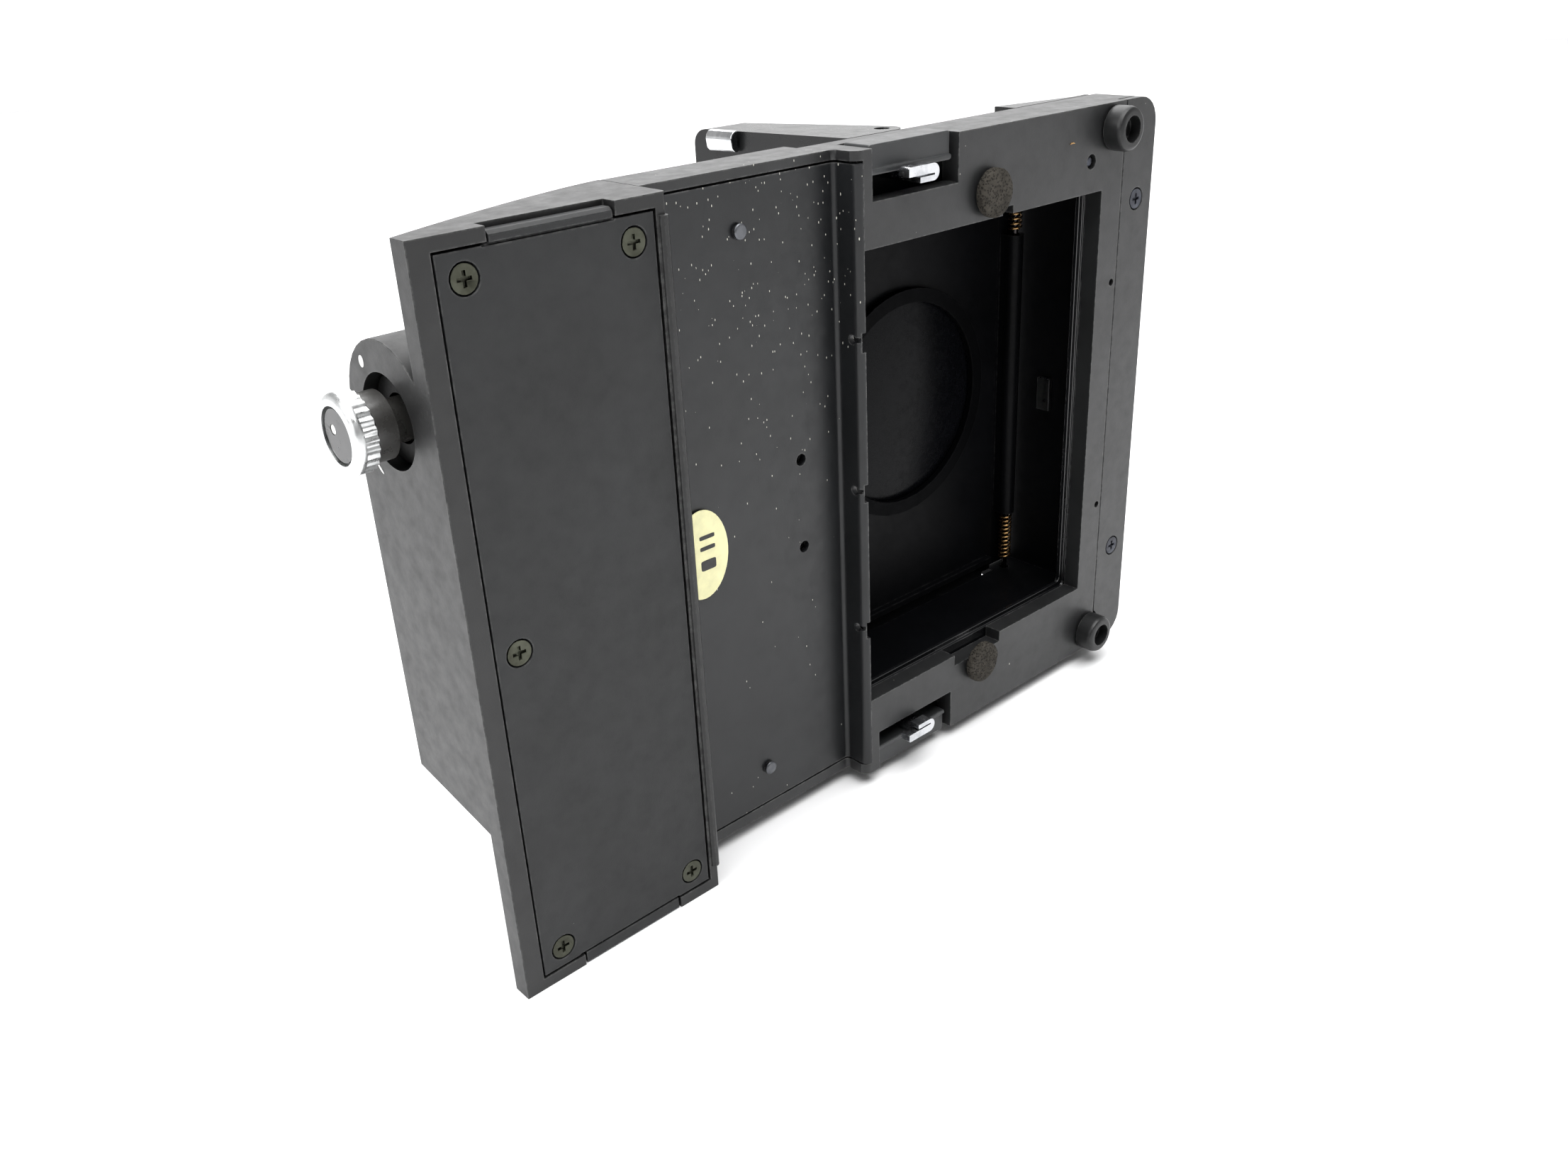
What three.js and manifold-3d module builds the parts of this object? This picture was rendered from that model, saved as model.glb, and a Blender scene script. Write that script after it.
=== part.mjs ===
// Detachable metering focusing hood for a medium format camera, standing on its long side.
// X runs along the body, Y runs from the face that meets the camera to the back, Z is up.
// Lengths are millimetres. Every piece is one closed solid.

import * as THREE from 'three';
import { mergeVertices } from 'three/addons/utils/BufferGeometryUtils.js';
import Module from 'manifold-3d';

const wasm = await Module();
wasm.setup();

// ---- driving dimensions ----
const GAP = 0.3; // clearance left between neighbouring pieces

const APERTURE = { x0: 0, x1: 53.7, z0: 0, z1: 70 };
const FRAME = { x0: -33.3, x1: 67.5, z0: -13.3, z1: 83, backRight: 9, backMid: 11.5, plate: 3 };
const MID_FACE_Y = 4; // how far the middle region sits behind the camera face
const SHEET = 1; // thickness of the bent transition plate
const SHEET_Z = { z0: -11.2, z1: 81.4 };

const HOUSING = { x0: -66.7, x1: -33.6, z0: -15.5, z1: 83.05, front: -1.6, back: 11.5 };
const COVER = { x0: -63.7, x1: -35.6, z0: -13.5, z1: 81.1, thick: 1.8 };
// the deep box behind the housing, rounded at its top about a point near the selector
const BOX = { x1: -36, back: 17.7, z0: 9.3, slope: 3.2, roundY: 8.6, roundZ: 62.2, wall: 1.8 };
const KNOB = { y: 9, z: 61.85, ringR: 4.75, inlayR: 3.1, drumR: 4, stemR: 2.6, wellR: 5.65, wellDepth: 3.2 };
const KNOB_X = { front: -72.9, inlay: -72.7, back: -70.2, drum: -67.5, stem: -63.9, end: -58.6 };

const SEAT = { x0: -0.2, x1: 65, z0: -10.7, z1: 80.7, y0: 7.2, y1: 8.7 };
const WELL = { x0: 2, x1: 58.4, z0: -1.2, z1: 71.2, wall: 1.6, front: 5.2, back: 17.9, stop: 20.8 };
const ROD = { x: 54.3, y: 17.3, r: 0.5, z0: -0.9, z1: 70.9 };
const KNUCKLE = { z0: 10.1, z1: 61.1, r: 1.5 };
const COIL = { r: 1, wire: 0.2, pitch: 0.8 };
const PANEL = { x0: 7.2, x1: 51.2, z0: -2.6, z1: 72.6, y0: 18.3, y1: 19.5, edge: 56.9, narrow: 49 };
const LENS = { x: 27, z: 38, r: 17.4, ring: 1.6 };

const LID = { pivotX: 16.3, pivotY: 12, pivotR: 2.7, sheet: 1, z0: -13, z1: 83 };
const LATCH = { x0: 1.8, x1: 19.1, depth: 6.8, inner: 6.6 };
const HOOK = { x0: 6.1, x1: 12.1, arm0: 8.7, arm1: 11.5, front: -2.6, back: -0.8 };
const FOOT = { r: 3.4, h: 3.5, bore: 2, inset: 3.8 };
const FOAM = { x: 26, r: 3.6, thick: 1.6 };
const STRIP = { x0: 59.2, thick: 1.5, corner: 4.2 };

const COVER_SCREWS = [
  [-60.5, 78.1],
  [-38.6, 78.1],
  [-60.5, 33.9],
  [-38.4, -10.6],
  [-60.4, -10.6],
];

// ---- solids ----
function solid(geometry) {
  const bare = new THREE.BufferGeometry();
  bare.setAttribute('position', geometry.getAttribute('position'));
  if (geometry.index) bare.setIndex(geometry.index);
  const merged = mergeVertices(bare, 1e-4);
  const mesh = new wasm.Mesh({
    numProp: 3,
    vertProperties: new Float32Array(merged.getAttribute('position').array),
    triVerts: new Uint32Array(merged.index.array),
  });
  return new wasm.Manifold(mesh);
}

function geometryOf(manifold) {
  const mesh = manifold.getMesh();
  const geometry = new THREE.BufferGeometry();
  geometry.setAttribute('position', new THREE.BufferAttribute(mesh.vertProperties, 3));
  geometry.setIndex(new THREE.BufferAttribute(mesh.triVerts, 1));
  return geometry;
}

function box(x0, x1, y0, y1, z0, z1) {
  const g = new THREE.BoxGeometry(x1 - x0, y1 - y0, z1 - z0);
  g.translate((x0 + x1) / 2, (y0 + y1) / 2, (z0 + z1) / 2);
  return solid(g);
}

// Round bar along an axis, from `a` to `b`; p and q are the other two coordinates in x, y, z order.
function bar(axis, a, b, p, q, r, segments = 32) {
  const g = new THREE.CylinderGeometry(r, r, b - a, segments);
  g.translate(0, (a + b) / 2, 0);
  if (axis === 'x') g.applyMatrix4(new THREE.Matrix4().set(0, 1, 0, 0, 1, 0, 0, p, 0, 0, -1, q, 0, 0, 0, 1));
  if (axis === 'y') g.translate(p, 0, q);
  if (axis === 'z') g.applyMatrix4(new THREE.Matrix4().set(1, 0, 0, p, 0, 0, -1, q, 0, 1, 0, 0, 0, 0, 0, 1));
  return solid(g);
}

function shapeOf(points) {
  return new THREE.Shape(points.map(([u, v]) => new THREE.Vector2(u, v)));
}

function extrude(points, depth) {
  return new THREE.ExtrudeGeometry(shapeOf(points), { depth, bevelEnabled: false, steps: 1 });
}

// Outline in x, y drawn up along Z.
function prismZ(points, z0, z1) {
  const g = extrude(points, z1 - z0);
  g.translate(0, 0, z0);
  return solid(g);
}

// Outline in x, z drawn back along Y.
function prismY(points, y0, y1) {
  const g = extrude(points.map(([x, z]) => [x, -z]), y1 - y0);
  g.applyMatrix4(new THREE.Matrix4().set(1, 0, 0, 0, 0, 0, 1, y0, 0, -1, 0, 0, 0, 0, 0, 1));
  return solid(g);
}

// Outline in y, z drawn along X.
function prismX(points, x0, x1) {
  const g = extrude(points, x1 - x0);
  g.applyMatrix4(new THREE.Matrix4().set(0, 0, 1, x0, 1, 0, 0, 0, 0, 1, 0, 0, 0, 0, 0, 1));
  return solid(g);
}

function roundRect(x0, x1, z0, z1, radii, steps = 6) {
  const [bl, br, tr, tl] = radii;
  const corners = [
    [x0 + bl, z0 + bl, bl, Math.PI],
    [x1 - br, z0 + br, br, 1.5 * Math.PI],
    [x1 - tr, z1 - tr, tr, 0],
    [x0 + tl, z1 - tl, tl, 0.5 * Math.PI],
  ];
  const points = [];
  for (const [cx, cz, r, start] of corners) {
    const count = r > 0 ? steps : 0;
    for (let i = 0; i <= count; i += 1) {
      const angle = start + (count ? (i / count) * 0.5 * Math.PI : 0);
      points.push([cx + r * Math.cos(angle), cz + r * Math.sin(angle)]);
    }
  }
  return points;
}

function circle(cx, cy, r, segments = 32) {
  return Array.from({ length: segments }, (_, i) => {
    const angle = (i / segments) * 2 * Math.PI;
    return [cx + r * Math.cos(angle), cy + r * Math.sin(angle)];
  });
}

// Turned piece whose axis runs along Y: profile of [radius, y] pairs.
function turnedY(profile, x, z, segments = 20) {
  const g = new THREE.LatheGeometry(profile.map(([r, y]) => new THREE.Vector2(r, y)), segments);
  g.translate(x, 0, z);
  return solid(g);
}

// Turned piece whose axis runs along X: profile of [radius, x] pairs.
function turnedX(profile, y, z, segments = 36) {
  const g = new THREE.LatheGeometry(profile.map(([r, x]) => new THREE.Vector2(r, x)), segments);
  g.applyMatrix4(new THREE.Matrix4().set(0, 1, 0, 0, 1, 0, 0, y, 0, 0, -1, z, 0, 0, 0, 1));
  return solid(g);
}

// ---- materials ----
const LOOKS = {
  paint: [0x1b1c1e, 0.55, 0.2],
  sheet: [0x202124, 0.42, 0.35],
  chrome: [0xd5d8da, 0.18, 1],
  steel: [0x8f9396, 0.35, 1],
  darkscrew: [0x3a3c30, 0.45, 0.8],
  brass: [0xb48a45, 0.35, 1],
  foam: [0x3b342c, 0.95, 0],
  label: [0xe8e2a4, 0.6, 0],
  plastic: [0x141416, 0.3, 0],
  glass: [0xc8d2d4, 0.05, 0],
  board: [0x2f5d3a, 0.6, 0],
  cell: [0xb9bcbe, 0.3, 1],
};

const group = new THREE.Group();
group.name = 'metering_focusing_hood';

function add(name, manifold, look) {
  const [color, roughness, metalness] = LOOKS[look];
  const material = new THREE.MeshStandardMaterial({ color, roughness, metalness });
  const mesh = new THREE.Mesh(geometryOf(manifold), material);
  mesh.name = name;
  group.add(mesh);
}

// ---- fasteners ----
function crossRecess(x, z, y0, y1, arm) {
  const w = arm * 0.24;
  return box(x - arm, x + arm, y0, y1, z - w, z + w).add(box(x - w, x + w, y0, y1, z - arm, z + arm));
}

// Round-headed screw put in from the back, its head from y to y + 0.9.
function backScrew(x, z, y) {
  const screw = bar('y', y, y + 0.9, x, z, 1.9, 16).add(bar('y', y - 3.2, y + 0.1, x, z, 0.6, 12));
  return screw.subtract(crossRecess(x, z, y + 0.4, y + 2, 1));
}

function countersunkScrew(x, z, faceY, headR, shankR, length) {
  const head = headR - shankR;
  const profile = [
    [0, faceY],
    [headR, faceY],
    [headR, faceY + 0.2],
    [shankR, faceY + head * 0.75],
    [shankR, faceY + length],
    [0, faceY + length],
  ];
  return turnedY(profile, x, z).subtract(crossRecess(x, z, faceY - 0.1, faceY + headR * 0.3, headR * 0.55));
}

function countersink(x, z, faceY, headR, shankR, length) {
  const r = headR + 0.2;
  const profile = [
    [0, faceY - 1],
    [r, faceY - 1],
    [r, faceY + 0.35],
    [shankR + GAP, faceY + (headR - shankR) * 0.75 + 0.2],
    [shankR + GAP, faceY + length + GAP],
    [0, faceY + length + GAP],
  ];
  return turnedY(profile, x, z, 20);
}

// ---- bent transition plate ----
// Line in x, y at a distance from the sheet's centre: flat, up the step, and over onto a narrow hem.
function sheetPath(offset) {
  const centre = MID_FACE_Y + SHEET / 2;
  const inner = 1.2;
  const outer = 0.55;
  const wallX = -0.9;
  const flangeY = 0.2;
  const points = [[-33.2, centre + offset]];
  for (let i = 0; i <= 7; i += 1) {
    const angle = (1 - i / 7) * 0.5 * Math.PI;
    const r = inner + offset;
    points.push([wallX - inner + r * Math.cos(angle), centre - inner + r * Math.sin(angle)]);
  }
  for (let i = 0; i <= 4; i += 1) {
    const angle = Math.PI * (1 + (i / 4) * 0.5);
    const r = outer - offset;
    points.push([wallX + outer + r * Math.cos(angle), flangeY + outer + r * Math.sin(angle)]);
  }
  points.push([-0.2, flangeY + offset]);
  return points;
}

const CLIP_Z = [58.05, 35.7, 13.3];
const RIVETS = [
  ['transition_rivet_upper', -18.5, 75.3],
  ['transition_rivet_lower', -18.3, -5.1],
];
{
  const outline = [...sheetPath(-SHEET / 2), ...sheetPath(SHEET / 2).reverse()];
  let plate = prismZ(outline, SHEET_Z.z0, SHEET_Z.z1);
  for (const z of CLIP_Z) {
    plate = plate.subtract(box(-0.8, 2, -1, 0.3, z - 1.75, z + 0.95));
    plate = plate.subtract(box(-0.4, 2, -1, 1, z - 1.75, z + 0.95));
    plate = plate.subtract(bar('x', -3, 1, 1.2, z, 0.7, 16));
    plate = plate.subtract(box(-3, -0.9, -1, 1.2, z - 0.35, z + 0.35));
  }
  for (const z of [42, 28.6]) plate = plate.subtract(bar('y', 3, 6, -9.2, z, 0.9, 16));
  for (const [, x, z] of RIVETS) plate = plate.subtract(bar('y', 3, 6, x, z, 0.82, 16));
  add('transition_plate', plate, 'sheet');
}
for (const [name, x, z] of RIVETS) {
  const profile = [
    [0, 3.3],
    [0.85, 3.3],
    [1.05, 3.45],
    [1.05, 3.7],
    [0.5, 3.7],
    [0.5, 6.6],
    [0, 6.6],
  ];
  add(name, turnedY(profile, x, z), 'steel');
}

// ---- base casting ----
const STRIP_SCREWS = [
  ['end_strip_screw_upper', 63.4, 67.3],
  ['end_strip_screw_lower', 63.6, 5.3],
];
const SEAT_SCREWS = [
  [22.6, -7.3],
  [61.6, -7.3],
  [61.6, 77.3],
  [22.6, 77.3],
];
const MID_SCREWS = [
  [-29, -8],
  [-7.5, -8],
  [-7.5, 78],
  [-29, 78],
];
// the two ends of the frame: edge, direction outwards, foot, latch hook and foam pad
const LATCHES = [
  { side: 'upper', z: FRAME.z1, up: 1, footX: 56, hookZ: 77.9, foamZ: 73.9 },
  { side: 'lower', z: FRAME.z0, up: -1, footX: 57, hookZ: -7.1, foamZ: -3.2 },
];
const span = (a, b) => [Math.min(a, b), Math.max(a, b)];

{
  const front = sheetPath(-SHEET / 2);
  const outline = [
    [FRAME.x0, MID_FACE_Y],
    ...front.slice(1, 9),
    [-1.4, 1],
    [-0.9, 0.3],
    [-0.2, 0],
    [FRAME.x1, 0],
    [FRAME.x1, FRAME.backRight],
    [-3.2, FRAME.backRight],
    [-3.2, FRAME.backMid],
    [FRAME.x0, FRAME.backMid],
  ];
  let body = prismZ(outline, FRAME.z0, FRAME.z1);

  // rounded outer corners at the end with the locating feet
  const keep = roundRect(FRAME.x0 - 1, FRAME.x1, FRAME.z0, FRAME.z1, [0, STRIP.corner, STRIP.corner, 0]);
  body = body.intersect(prismY(keep, -5, 20));

  // shallow seat for the transition plate, open to the front
  const behind = sheetPath(SHEET / 2 + GAP).slice(1, 9);
  const pocket = [
    [FRAME.x0 - 1, behind[0][1]],
    ...behind,
    [behind.at(-1)[0], 1],
    [0.1, 1],
    [0.1, -3],
    [FRAME.x0 - 1, -3],
  ];
  body = body.subtract(prismZ(pocket, SHEET_Z.z0 - GAP, SHEET_Z.z1 + GAP));

  // aperture, with a small relief beside each foam pad
  const { x0, x1, z0, z1 } = APERTURE;
  body = body.subtract(box(x0 - 0.2, x1, -1, 5, z0, z1));
  body = body.subtract(box(20, 31.6, -1, 5, z0 - 1.9, z0 + 1));
  body = body.subtract(box(29.2, 31.6, -1, 5, z1 - 1, z1 + 1.2));

  // hollow back: a deep tray behind the frame and a tray in the middle region
  body = body.subtract(box(-0.6, 65.4, FRAME.plate, 12, -11, 81));
  body = body.subtract(box(-31.4, -5.4, 7.4, 12, -11, 81));
  body = body.subtract(box(-6, 0, 8, 12, 8, 20));
  for (const [x, z] of SEAT_SCREWS) {
    body = body.add(bar('y', FRAME.plate - 0.2, SEAT.y0 - GAP, x, z, 2.2, 20));
  }
  for (const [x, z] of MID_SCREWS) body = body.add(bar('y', 7.2, 9.7, x, z, 2, 20));
  for (const [x, z] of MID_SCREWS) body = body.subtract(bar('y', 8, 13, x, z, 0.9, 16));
  for (const [x, z] of SEAT_SCREWS) body = body.subtract(bar('y', 4, 12, x, z, 0.9, 16));

  // recess under the end strip
  body = body.subtract(box(STRIP.x0 - GAP, 70, -1, STRIP.thick + GAP, -20, 90));
  for (const [, x, z] of STRIP_SCREWS) body = body.subtract(bar('y', 0, 2.7, x, z, 0.9, 16));

  // slots for the two latches, open at the edge of the frame
  for (const { z, up } of LATCHES) {
    const [a, b] = span(z - up * LATCH.depth, z + up);
    body = body.subtract(box(LATCH.x0, LATCH.x1, -1, LATCH.inner, a, b));
  }

  // rivet seats and small holes
  for (const [, x, z] of RIVETS) body = body.subtract(bar('y', 4, 6.9, x, z, 0.82, 16));
  for (const z of [42, 28.6]) body = body.subtract(bar('y', 4, 6.6, -9.2, z, 0.9, 16));
  for (const z of [54.7, 15.2]) body = body.subtract(bar('y', -1, 2.2, 57.9, z, 0.6, 12));
  body = body.subtract(bar('y', -1, 2.2, 50.5, 74.8, 1.15, 16));

  // seats for the locating feet
  for (const { z, up, footX } of LATCHES) {
    body = body.subtract(bar('y', -1, 2.3, footX - 1, z - up * FOOT.inset, 1.55, 24));
  }

  // ears that carry the lid pivots
  for (const { z, up } of LATCHES) {
    const [a, b] = span(z - up * 1.4, z - up * 4.2);
    const ear = prismZ(
      [
        [12.9, 6.8],
        [18.7, 6.8],
        [18.7, 12],
        [17.6, 14],
        [15.8, 14.7],
        [14, 14],
        [12.9, 12],
      ],
      a,
      b,
    );
    const bore = bar('z', a - 1, b + 1, LID.pivotX, LID.pivotY, 1.15, 20);
    body = body.add(ear).subtract(bore);
  }
  add('base_casting', body, 'paint');
}

// ---- fittings on the camera face ----
{
  const outline = roundRect(STRIP.x0, FRAME.x1, FRAME.z0, FRAME.z1, [0, STRIP.corner, STRIP.corner, 0]);
  let strip = prismY(outline, 0, STRIP.thick);
  for (const [, x, z] of STRIP_SCREWS) strip = strip.subtract(countersink(x, z, 0.05, 1.6, 0.6, 2.3));
  // room for the locating feet, which sit half on the strip
  for (const { z, up, footX } of LATCHES) {
    strip = strip.subtract(bar('y', -1, 3, footX, z - up * FOOT.inset, FOOT.r + GAP, 32));
  }
  add('end_strip', strip, 'paint');
}
for (const [name, x, z] of STRIP_SCREWS) add(name, countersunkScrew(x, z, 0.05, 1.6, 0.6, 2.3), 'steel');

for (const { side, z, up, footX } of LATCHES) {
  const cz = z - up * FOOT.inset;
  const profile = [
    [FOOT.bore, -FOOT.h],
    [FOOT.r - 0.8, -FOOT.h],
    [FOOT.r - 0.25, -FOOT.h + 0.25],
    [FOOT.r, -FOOT.h + 0.9],
    [FOOT.r, -GAP],
    [FOOT.bore + 0.15, -GAP],
    [FOOT.bore, -GAP - 0.15],
    [FOOT.bore, -FOOT.h],
  ];
  const shell = turnedY(profile, footX, cz, 32);
  const plug = bar('y', -1.6, -GAP, footX, cz, FOOT.bore + 0.2, 32);
  const spigot = bar('y', -1, 2, footX - 1, cz, 1.25, 24);
  add(`locating_foot_${side}`, shell.add(plug).add(spigot), 'plastic');
}

for (const { side, foamZ } of LATCHES) {
  add(`foam_pad_${side}`, bar('y', -GAP - FOAM.thick, -GAP, FOAM.x, foamZ, FOAM.r, 32), 'foam');
}
{
  const pin = turnedY([[0, 0.4], [0.6, 0.4], [0.85, 0.65], [0.85, 1.9], [0, 1.9]], 50.5, 74.8, 16);
  add('locating_pin', pin, 'steel');
}

// ---- latches: a release button carrying a chrome hook, sliding across the slot ----
for (const { side, z, up, hookZ } of LATCHES) {
  const [b0, b1] = span(z - up * 3.6, z + up * 0.3);
  let button = prismY(roundRect(LATCH.x0 + GAP, LATCH.x1 - 0.9, b0, b1, [0.4, 0.4, 0.4, 0.4], 3), 0.5, 5.6);
  const [t0, t1] = span(z - up * 2.8, z + up);
  button = button.subtract(box(0, 20, 0, 0.9, t0, t1));
  add(`release_button_${side}`, button, 'sheet');

  // a strip bent double in front of the slot, and the arm that carries it
  const { x0, x1, arm0, arm1, front, back } = HOOK;
  const [h0, h1] = span(hookZ, hookZ + up * 2.3);
  let hook = prismY(roundRect(x0, x1, h0, h1, [0.25, 1.1, 1.1, 0.25], 6), front, back);
  const [g0, g1] = span(hookZ + up * 0.75, hookZ + up);
  hook = hook.subtract(box(x0 - 1, x1 - 0.9, front - 1, back + 1, g0, g1));
  const [e0, e1] = span(hookZ - up, hookZ + up * 0.85);
  hook = hook.subtract(box(x0 - 1, x0 + 2.2, front - 1, back + 1, e0, e1));
  const [a0, a1] = span(z - up * 5.1, z - up * 4);
  hook = hook.add(box(arm0, arm1, back - 0.5, 6.2, a0, a1));
  add(`latch_hook_${side}`, hook, 'chrome');
}

// ---- end housing ----
function housingBack(x) {
  const t = (HOUSING.x1 - x) / (HOUSING.x1 - HOUSING.x0);
  return HOUSING.back - 10.2 * t ** 1.35;
}
{
  const outline = [
    [HOUSING.x0, HOUSING.front],
    [HOUSING.x1 - 0.4, HOUSING.front],
    [HOUSING.x1, HOUSING.front + 0.5],
  ];
  for (let i = 0; i <= 16; i += 1) {
    const x = HOUSING.x1 + (i / 16) * (HOUSING.x0 - HOUSING.x1);
    outline.push([x, housingBack(x)]);
  }
  let shell = prismZ(outline, HOUSING.z0, HOUSING.z1);

  // deep box, its top rounded about the selector axis
  const side = [
    [0, BOX.z0],
    [BOX.back, BOX.z0 + BOX.slope],
    [BOX.back, BOX.roundZ],
  ];
  for (let i = 1; i <= 14; i += 1) {
    const angle = (i / 14) * 0.86 * Math.PI;
    const r = BOX.back - BOX.roundY;
    side.push([BOX.roundY + r * Math.cos(angle), BOX.roundZ + r * Math.sin(angle)]);
  }
  shell = shell.add(prismX(side, HOUSING.x0, BOX.x1));

  // recess for the cover and the gaps its tabs pass through
  const floor = HOUSING.front + 0.1 + COVER.thick + GAP;
  const g = GAP;
  shell = shell.subtract(box(COVER.x0 - g, COVER.x1 + g, -3, floor, COVER.z0 - g, COVER.z1 + g));
  shell = shell.subtract(box(-57.4, -40.9, -3, floor, HOUSING.z0 - 1, HOUSING.z1 + 1));

  // hollow inside, with a post left for the middle screw
  const inside = BOX.back - BOX.wall;
  let hollow = box(-61.5, -38.2, -2, inside, 14.4, BOX.roundZ);
  hollow = hollow.add(bar('x', -61.5, -38.2, BOX.roundY, BOX.roundZ, inside - BOX.roundY, 32));
  const post = bar('y', -3, 20, COVER_SCREWS[2][0], COVER_SCREWS[2][1], 2.6, 24);
  const web = box(-62, COVER_SCREWS[2][0], -3, 20, COVER_SCREWS[2][1] - 2.6, COVER_SCREWS[2][1] + 2.6);
  hollow = hollow.subtract(post).subtract(web);
  shell = shell.subtract(hollow);

  // selector well and shaft bore
  const floorX = HOUSING.x0 + KNOB.wellDepth;
  shell = shell.subtract(bar('x', HOUSING.x0 - 1, floorX, KNOB.y, KNOB.z, KNOB.wellR, 48));
  shell = shell.subtract(bar('x', HOUSING.x0, -61, KNOB.y, KNOB.z, 1.9, 24));

  // rounded bead down the edge beside the middle plate
  const bead = [
    [HOUSING.x1 - 1.5, HOUSING.front + 0.3],
    [HOUSING.x1 - 1.35, HOUSING.front - 0.3],
    [HOUSING.x1 - 0.95, HOUSING.front - 0.6],
    [HOUSING.x1 - 0.5, HOUSING.front - 0.6],
    [HOUSING.x1 - 0.15, HOUSING.front - 0.3],
    [HOUSING.x1, HOUSING.front + 0.3],
    [HOUSING.x1, HOUSING.front + 1],
    [HOUSING.x1 - 1.5, HOUSING.front + 1],
  ];
  shell = shell.add(prismZ(bead, -11.5, 80.5));

  // blind holes for the cover screws and an opening for the wiring
  for (const [x, z] of COVER_SCREWS) shell = shell.subtract(bar('y', -2, 2.6, x, z, 1.15, 20));
  shell = shell.subtract(box(-39, -33, 8, 11, 20, 24));
  add('end_housing', shell, 'paint');
}
{
  const y0 = HOUSING.front + 0.1;
  const y1 = y0 + COVER.thick;
  let cover = box(COVER.x0, COVER.x1, y0, y1, COVER.z0, COVER.z1);
  // tabs at both ends, each behind a crease, the upper one bevelled
  const tabs = [
    [y0, HOUSING.z0 + 0.2],
    [y1, HOUSING.z0 + 0.2],
    [y1, HOUSING.z1 - 0.6],
    [y0 + 0.5, HOUSING.z1 - 0.6],
    [y0, HOUSING.z1 - 1],
  ];
  cover = cover.add(prismX(tabs, -57.1, -41.2));
  for (const z of [COVER.z0, COVER.z1]) {
    cover = cover.subtract(box(-58, -41, y0 - 1, y0 + 0.4, z - 0.15, z + 0.15));
  }
  for (const [x, z] of COVER_SCREWS) cover = cover.subtract(countersink(x, z, y0 + 0.05, 1.65, 0.7, 3.6));
  add('end_cover', cover, 'paint');
  COVER_SCREWS.forEach(([x, z], i) => {
    add(`end_cover_screw_${i + 1}`, countersunkScrew(x, z, y0 + 0.05, 1.65, 0.7, 3.6), 'darkscrew');
  });
}

// ---- selector ----
{
  const { y, z, ringR, inlayR, drumR, stemR, wellR } = KNOB;
  const { front, inlay: inlayX, back, drum, stem, end } = KNOB_X;
  const shaft = [
    [0, inlayX + 1.5],
    [2, inlayX + 1.5],
    [2, back + GAP],
    [drumR, back + GAP],
    [drumR, drum],
    [stemR, drum],
    [stemR, stem],
    [1.5, stem],
    [1.5, end],
    [0, end],
  ];
  const flat = box(end - 1, end + 1, y + 0.9, y + 2, z - 2, z + 2);
  add('selector_shaft', turnedX(shaft, y, z, 36).subtract(flat), 'plastic');

  // fluted behind a smooth rounded lip
  const flutes = 26;
  const perFlute = 6;
  const rim = Array.from({ length: flutes * perFlute }, (_, i) => {
    const angle = (i / (flutes * perFlute)) * 2 * Math.PI;
    const r = ringR - 0.2 + 0.12 * Math.cos(flutes * angle);
    return [y + r * Math.cos(angle), z + r * Math.sin(angle)];
  });
  const lip = [
    [0, front],
    [inlayR + 0.75, front],
    [ringR - 0.35, front + 0.2],
    [ringR - 0.1, front + 0.45],
    [ringR, front + 0.8],
    [ringR - 0.1, front + 1.15],
    [0, front + 1.15],
  ];
  let ring = prismX(rim, front + 1, back).add(turnedX(lip, y, z, 40));
  ring = ring.subtract(bar('x', front - 1, inlayX + 1.2, y, z, inlayR + GAP, 40));
  ring = ring.subtract(bar('x', front, back + 1, y, z, 2.3, 32));
  add('selector_ring', ring, 'chrome');

  const dot = bar('x', inlayX - 1, inlayX + 0.2, y + 1.05, z + 0.5, 0.6, 16);
  add('selector_inlay', bar('x', inlayX, inlayX + 0.9, y, z, inlayR, 40).subtract(dot), 'plastic');

  const bush = HOUSING.x0 + 1.6;
  const sleeve = [
    [stemR + 0.35, bush],
    [wellR - 0.35, bush],
    [wellR - 0.35, HOUSING.x0 + KNOB.wellDepth - 0.35],
    [stemR + 0.35, HOUSING.x0 + KNOB.wellDepth - 0.35],
    [stemR + 0.35, bush],
  ];
  add('selector_bushing', turnedX(sleeve, y, z, 40), 'plastic');

  const body = box(-60.9, -54.5, y - 4, y + 4, z - 4.3, z + 4.3);
  add('selector_switch', body.subtract(bar('x', -62, -58, y, z, 1.9, 20)), 'plastic');
}

// ---- electronics inside the end housing ----
{
  let board = box(-57.2, -39, 13.6, 14.8, 16, 56);
  for (const z of [20, 52]) board = board.subtract(bar('y', 13, 16, -42, z, 1, 16));
  add('circuit_board', board, 'board');
  const can = bar('y', 4.2, 12.4, -48.5, 48.5, 6.6, 40).add(bar('y', 3.4, 4.3, -48.5, 48.5, 4.6, 40));
  add('meter_movement', can, 'steel');
  const cell = bar('y', 3.4, 8.8, -48.5, 26.2, 7.6, 40).add(bar('y', 2.8, 3.5, -48.5, 26.2, 5.2, 32));
  add('battery_cell', cell, 'cell');
  let clip = box(-57.2, -39.8, 9.2, 12.9, 17.4, 35);
  clip = clip.subtract(box(-56.2, -40.8, 9.9, 14, 18.4, 34));
  add('battery_clip', clip, 'brass');
}

// ---- label on the middle plate ----
{
  const outline = circle(0, 0, 1, 40).map(([u, v]) => [-28.3 + 4.5 * u, 33.9 + 6.5 * v]);
  add('check_label', prismY(outline, 3.5, 3.72), 'label');
}

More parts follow.
